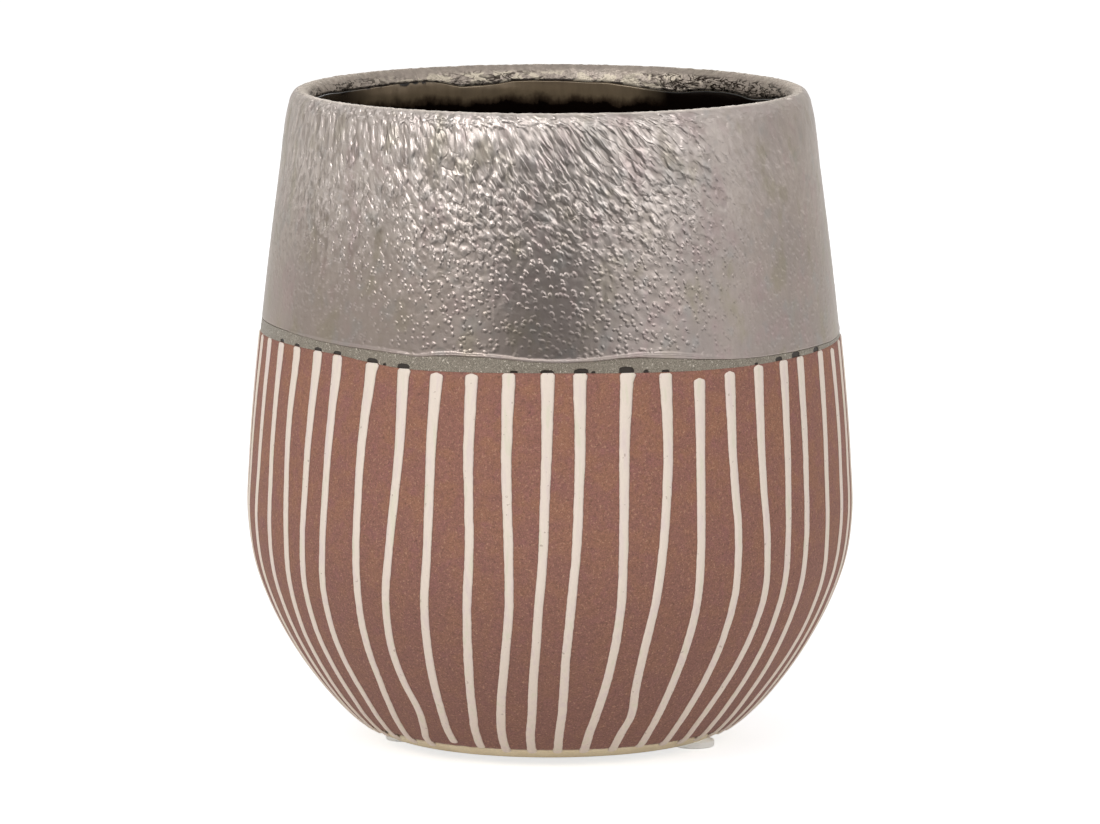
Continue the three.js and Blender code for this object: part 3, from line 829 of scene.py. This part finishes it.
class VASE_OT_clay(PieceOperator, bpy.types.Operator):
    """The fired clay: a foot ring round a shallow hollow, the bare margin and the core"""
    bl_idname = "vase.clay"
    bl_label = "Clay body"

    def build(self, sizes, looks):
        bare_depth, depth = 0.12 * MM, 1.1 * MM  # below the skin, where bare and under the coats
        steps = 240
        hidden = skin.outside(slip_foot + 0.5 * MM)
        section = [(r * MM, z * MM) for r, z in UNDERSIDE]
        bare = np.arange(0.9 * MM, hidden, 0.35 * MM)
        section += [skin.at(length, -bare_depth) for length in bare]
        inner = np.concatenate([
            np.arange(hidden, skin.crest - 12 * MM, 5 * MM),
            np.arange(skin.crest - 12 * MM, skin.crest + 14 * MM, 1.2 * MM),
            np.arange(skin.crest + 14 * MM, skin.end - 2 * MM, 5 * MM)])
        section += [skin.at(length, -depth) for length in inner]
        section.append((0.0, skin.at(skin.end, -depth)[1]))
        bm = sheet(len(section) - 1, steps)
        for vertex in bm.verts:
            azimuth, row = 360 * (round(vertex.co.x) % steps) / steps, round(vertex.co.y)
            r, z = section[row]
            if RING_CORNER < row < len(UNDERSIDE) + len(bare):
                r += 0.12 * MM * noise.noise((azimuth * 0.12, z * 300, 5.0))
            out = out_of(azimuth)
            vertex.co = out[0] * r, out[1] * r, z
        finish_mesh(bm, "fired_clay", clay_finish(looks), ["clay_body"])


class VASE_OT_slip(PieceOperator, bpy.types.Operator):
    """The matte terracotta slip from the bare foot up to the border"""
    bl_idname = "vase.slip"
    bl_label = "Terracotta slip"

    def build(self, sizes, looks):
        def foot(azimuth):
            ragged = 0.3 * noise.noise((azimuth * 0.35, 1.0, 1.0))
            ragged += 0.15 * noise.noise((azimuth, 2, 1))
            rise = 0.6 * smooth(abs(signed(azimuth)), 20, 60)
            rise += 0.7 * smooth(-signed(azimuth), 38, 58)
            return skin.outside(slip_foot + (0.35 + ragged + rise) * MM)

        def shape(azimuth, length):
            edge = (length - foot(azimuth)) / MM
            round_over = smooth(edge, 0, 1.0) * 0.35 - 0.35
            waver = 0.05 * noise.noise((azimuth * 0.5, length / MM * 0.4, 0.0))
            return ((round_over + waver - 0.05) * MM,)

        coat("slip", slip_finish(looks), ["slip_coat"],
             foot, border_at, shape, sizes.coat_thickness, steps=480, face_rows=110)


class VASE_OT_margin(PieceOperator, bpy.types.Operator):
    """The grainy first glaze under the rolled edge, crawled away above the lines"""
    bl_idname = "vase.margin"
    bl_label = "Glaze margin"

    def build(self, sizes, looks):
        def shape(azimuth, length):
            grit = 0.08 * noise.noise((azimuth * 2.6, length / MM * 1.4, 0.0)) - 0.1
            crawl = crawl_value(azimuth, length)
            return (grit - 0.35 * crawl) * MM, crawl

        coat("first_glaze", margin_finish(looks), ["glaze_margin"],
             lambda a: border_at(a) - 0.1 * MM, lambda a: bead_at(a) + 0.4 * MM, shape,
             sizes.coat_thickness, steps=1600, face_rows=18, marks=[("crawl", "float")])


class VASE_OT_metal(PieceOperator, bpy.types.Operator):
    """The thick pebbled metallic glaze over shoulder and lip, with its rolled lower edge"""
    bl_idname = "vase.metal"
    bl_label = "Metallic glaze"

    def build(self, sizes, looks):
        coat("pebbled_glaze", metal_finish(looks), ["metal_glaze"],
             bead_at, lambda a: inner_edge_at(a) - 0.1 * MM, metal_shape(sizes),
             sizes.coat_thickness, steps=760, face_rows=124, back_rows=5, crowded=0.3,
             edge_rows=14, edge_span=3.2 * MM,
             marks=[("crown", "float"), ("pebbled", "float"), ("lip", "float"), ("white", "float"),
                    ("cracked", "float"), ("flow", "float_vector")])


class VASE_OT_lining(PieceOperator, bpy.types.Operator):
    """The dark glossy glaze that lines the inside"""
    bl_idname = "vase.lining"
    bl_label = "Dark inner glaze"

    def build(self, sizes, looks):
        face_rows, back_rows, steps = 90, 12, 300
        starts = [inner_edge_at(360 * i / steps) + 0.15 * MM for i in range(steps)]
        bm = sheet(face_rows + back_rows - 1, steps)
        layer = bm.verts.layers.float.new("pale")
        places = []
        for vertex in bm.verts:
            column, row = round(vertex.co.x) % steps, round(vertex.co.y)
            azimuth = 360 * column / steps
            # how strongly the painted band of light shows at this azimuth
            vertex[layer] = lit_band_inside(azimuth)
            start = starts[column]
            if row >= back_rows:
                share = (row - back_rows) / (face_rows - 1)
                length = mix(start, skin.end, share ** 1.5)
                calm = 1 - smooth(share, 0.85, 0.98)
                waves = noise.noise((azimuth * 0.08, length / MM * 0.25, 3.0))
                height = 0.12 * MM * (waves - 1) * calm
            else:
                length = mix(skin.end, start, row / (back_rows - 1))
                height = -sizes.coat_thickness
            places.append((length, height, azimuth))
        wrap(bm, places)
        finish_mesh(bm, "dark_lining", lining_finish(looks), ["inner_glaze"])


class VASE_OT_lines(PieceOperator, bpy.types.Operator):
    """The hand-painted cream lines"""
    bl_idname = "vase.lines"
    bl_label = "Cream lines"

    def build(self, sizes, looks):
        finish = cream_finish(looks)
        nodes = sorted(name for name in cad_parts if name.startswith("cream_line_"))
        for k, node in enumerate(nodes):
            self.line(k, node, finish, sizes.line_rise)

    @staticmethod
    def line(k, node, finish, rise):
        lengths, turns, widths = line_path(node)
        widths[0], widths[-1] = widths[1], widths[-2]
        stations, face_rows, back_rows = 220, 7, 2
        rows = face_rows + back_rows
        side_depth, back_depth = 0.06 * MM, 0.3 * MM  # below the skin
        bare_end = skin.outside(slip_foot + 1.4 * MM)  # below it the line lies on bare clay
        at = np.linspace(lengths[0], lengths[-1], stations + 1)
        turn = along_curve(lengths, turns, curve_through(lengths, turns), at)
        half = np.interp(at, lengths, widths) / 2
        radius = skin.at(at)[0]
        strokes = brush_along(k, at)
        bm = sheet(rows, stations)
        layer = bm.verts.layers.float.new("paint")
        places = []
        for vertex in bm.verts:
            i, row = round(vertex.co.x), round(vertex.co.y) % rows
            length = float(at[i])
            width, drift, tip, flare = strokes[i]
            if row < face_rows:
                across = (row / (face_rows - 1) - 0.5) * 2
                rough = 0.0
                if abs(across) > 0.6:
                    side = k * LINE_SEED + math.copysign(3, across)
                    rough = 0.1 * noise.noise((side, length / MM * 1.1, 2.0))
                crown = (1 - abs(across) ** 3) ** 0.8
                height = mix(-side_depth, rise, crown * tip)
                # 0 at the edges above the slip, where the finish paints shade along the line's
                # sides
                vertex[layer] = 0.0 if abs(across) > 0.99 and length > bare_end else 1.0
            else:
                across = 0.9 * (1 - 2 * (row - face_rows) / (back_rows - 1))
                rough = 0.0
                height = -back_depth
            sideways = across * (half[i] * width) * tip + (rough + drift) * MM
            sideways += max(across, 0.0) * flare
            places.append((length, height, math.degrees(turn[i] + sideways / radius[i])))
        wrap(bm, places)
        bmesh.ops.remove_doubles(bm, verts=bm.verts, dist=WELD)
        ends = [edge for edge in bm.edges if len(edge.link_faces) == 1]
        bmesh.ops.holes_fill(bm, edges=ends, sides=rows)
        finish_mesh(bm, node.replace("cream_line", "painted_line"), finish, [node])


class VASE_OT_pads(PieceOperator, bpy.types.Operator):
    """The clear stick-on pads under the foot"""
    bl_idname = "vase.pads"
    bl_label = "Foot pads"

    def build(self, sizes, looks):
        finish = pad_finish(looks)
        for node in sorted(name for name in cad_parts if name.startswith("foot_pad_")):
            low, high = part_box(node)
            bm = bmesh.new()
            radius = (high.x - low.x) / 2 * 0.995
            tall = high.z - low.z - 0.02 * MM
            middle = ((low.x + high.x) / 2, (low.y + high.y) / 2, low.z + tall / 2)
            bmesh.ops.create_cone(bm, cap_ends=True, segments=64, radius1=radius, radius2=radius,
                                  depth=tall)
            bmesh.ops.translate(bm, verts=bm.verts, vec=middle)
            rims = [edge for edge in bm.edges
                    if any(len(face.verts) > 4 for face in edge.link_faces)]
            bmesh.ops.bevel(bm, geom=rims, offset=sizes.pad_edge, offset_type="OFFSET", segments=4,
                            profile=0.5, affect="EDGES", material=-1, clamp_overlap=True)
            finish_mesh(bm, node.replace("foot_pad", "clear_pad"), finish, [node])


class VASE_OT_stage(PieceOperator, bpy.types.Operator):
    """The pale floor, the soft lights, the white surroundings and the camera"""
    bl_idname = "vase.stage"
    bl_label = "Stage"

    def build(self, sizes, looks):
        self.floor(looks)
        self.surroundings()
        for softbox in SOFTBOXES:
            self.softbox(*softbox)
        for card in CARDS:
            self.card(*card)
        self.camera()

    @staticmethod
    def floor(looks):
        bm = bmesh.new()
        bmesh.ops.create_circle(bm, cap_ends=True, segments=96, radius=14)
        f = Finish("floor")
        seen = seen_by_camera(f)
        plain = f.node("BsdfDiffuse", {"Color": (0.9, 0.87, 0.83)})
        pale = f.node("BsdfDiffuse", {"Color": tuple(looks.floor)})
        glow = f.node("Emission", {"Color": (1, 1, 1), "Strength": 0.72})
        pale = f.node("AddShader", {0: pale, 1: glow})
        f.output(f.node("MixShader", {0: seen, 1: plain, 2: pale}))
        floor = mesh_object(bm, "floor", f.material)

    @staticmethod
    def surroundings():
        world = bpy.data.worlds.new("studio")
        world.use_nodes = True
        bpy.context.scene.world = world
        f = Finish("studio", world.node_tree)
        seen = seen_by_camera(f)  # pure white to look at, and softer as a light
        white = f.node("Background", {"Color": (1, 1, 1), "Strength": 1.0})
        soft = f.node("Background", {"Color": (1, 1, 1), "Strength": 0.54})
        mixed = f.node("MixShader", {0: seen, 1: soft, 2: white})
        f.node("OutputWorld", {"Surface": mixed}, out=None, target="ALL")

    @staticmethod
    def softbox(name, azimuth, height, width, tall, away, power):
        light = bpy.data.lights.new(name, "AREA")
        light.shape = "RECTANGLE"
        light.size, light.size_y = width, tall
        light.energy = power
        lamp = add_object(name, light)
        out = out_of(azimuth)
        lamp.location = (out[0] * away, out[1] * away, height)
        aim = Vector((0, 0, AIM_HEIGHT)) - lamp.location
        lamp.rotation_euler = aim.to_track_quat("-Z", "Y").to_euler()

    @staticmethod
    def card(name, shade, width, height, azimuth, away, flat):
        """A glowing sheet that faces the vase or lies flat, and is seen only mirrored."""
        bm = bmesh.new()
        bmesh.ops.create_grid(bm, x_segments=1, y_segments=1, size=0.5)
        bmesh.ops.scale(bm, verts=bm.verts, vec=(width, height, 1))
        if flat:
            bmesh.ops.translate(bm, verts=bm.verts, vec=(0, 0, 0.004))
        else:
            upright = Matrix.Rotation(math.radians(90), 3, "X")
            bmesh.ops.rotate(bm, verts=bm.verts, matrix=upright)
            bmesh.ops.translate(bm, verts=bm.verts, vec=(0, 0, height / 2 + 0.02))
        bmesh.ops.translate(bm, verts=bm.verts, vec=(0, -away, 0))
        around = Matrix.Rotation(math.radians(azimuth), 3, "Z")
        bmesh.ops.rotate(bm, verts=bm.verts, matrix=around)
        f = Finish(name)
        f.output(f.node("Emission", {"Color": shade}))
        card = mesh_object(bm, name, f.material)
        card.visible_camera = False
        card.visible_diffuse = False
        card.visible_shadow = False

    @staticmethod
    def camera():
        data = bpy.data.cameras.new("camera")
        data.sensor_fit = "HORIZONTAL"
        data.sensor_width = SENSOR_WIDTH
        data.lens = SENSOR_WIDTH * FOCAL_PIXELS / PICTURE_PIXELS
        data.clip_end = 60
        camera = add_object("camera", data)
        camera.location = CAMERA_PLACE
        camera.rotation_euler = (math.radians(90 - CAMERA_TILT), 0, 0)
        bpy.context.scene.camera = camera
        bpy.context.scene.view_settings.view_transform = "Standard"


def seen_by_camera(f):
    """1 on the rays that show the surroundings: those from the camera, a mirror or clear glass."""
    rays = f.node("LightPath", out=None)
    camera, glossy, clear = (Wire(f, rays.outputs[name]) for name in
                             ("Is Camera Ray", "Is Glossy Ray", "Is Transmission Ray"))
    return camera.or_more(glossy.or_more(clear))


PIECES = (VASE_OT_clay, VASE_OT_slip, VASE_OT_margin, VASE_OT_metal, VASE_OT_lining, VASE_OT_lines,
          VASE_OT_pads, VASE_OT_stage)


class VASE_PT_panel(bpy.types.Panel):
    """Lists the pieces of the vase and their settings"""
    bl_idname = "VASE_PT_panel"
    bl_label = "Vase"
    bl_space_type = "VIEW_3D"
    bl_region_type = "UI"
    bl_category = "Vase"

    def draw(self, context):
        for group in (context.scene.vase_sizes, context.scene.vase_looks):
            for name in group.bl_rna.properties.keys():
                if name not in ("rna_type", "name"):
                    self.layout.prop(group, name)
        for piece in PIECES:
            self.layout.operator(piece.bl_idname)


CLASSES = (VaseSizes, VaseLooks, *PIECES, VASE_PT_panel)


def register():
    for cls in CLASSES:
        bpy.utils.register_class(cls)
    bpy.types.Scene.vase_sizes = bpy.props.PointerProperty(type=VaseSizes)
    bpy.types.Scene.vase_looks = bpy.props.PointerProperty(type=VaseLooks)


def unregister():
    del bpy.types.Scene.vase_looks
    del bpy.types.Scene.vase_sizes
    for cls in reversed(CLASSES):
        bpy.utils.unregister_class(cls)


def main():
    register()
    for piece in PIECES:
        group, name = piece.bl_idname.split(".")
        getattr(getattr(bpy.ops, group), name)()


if __name__ == "__main__":
    main()
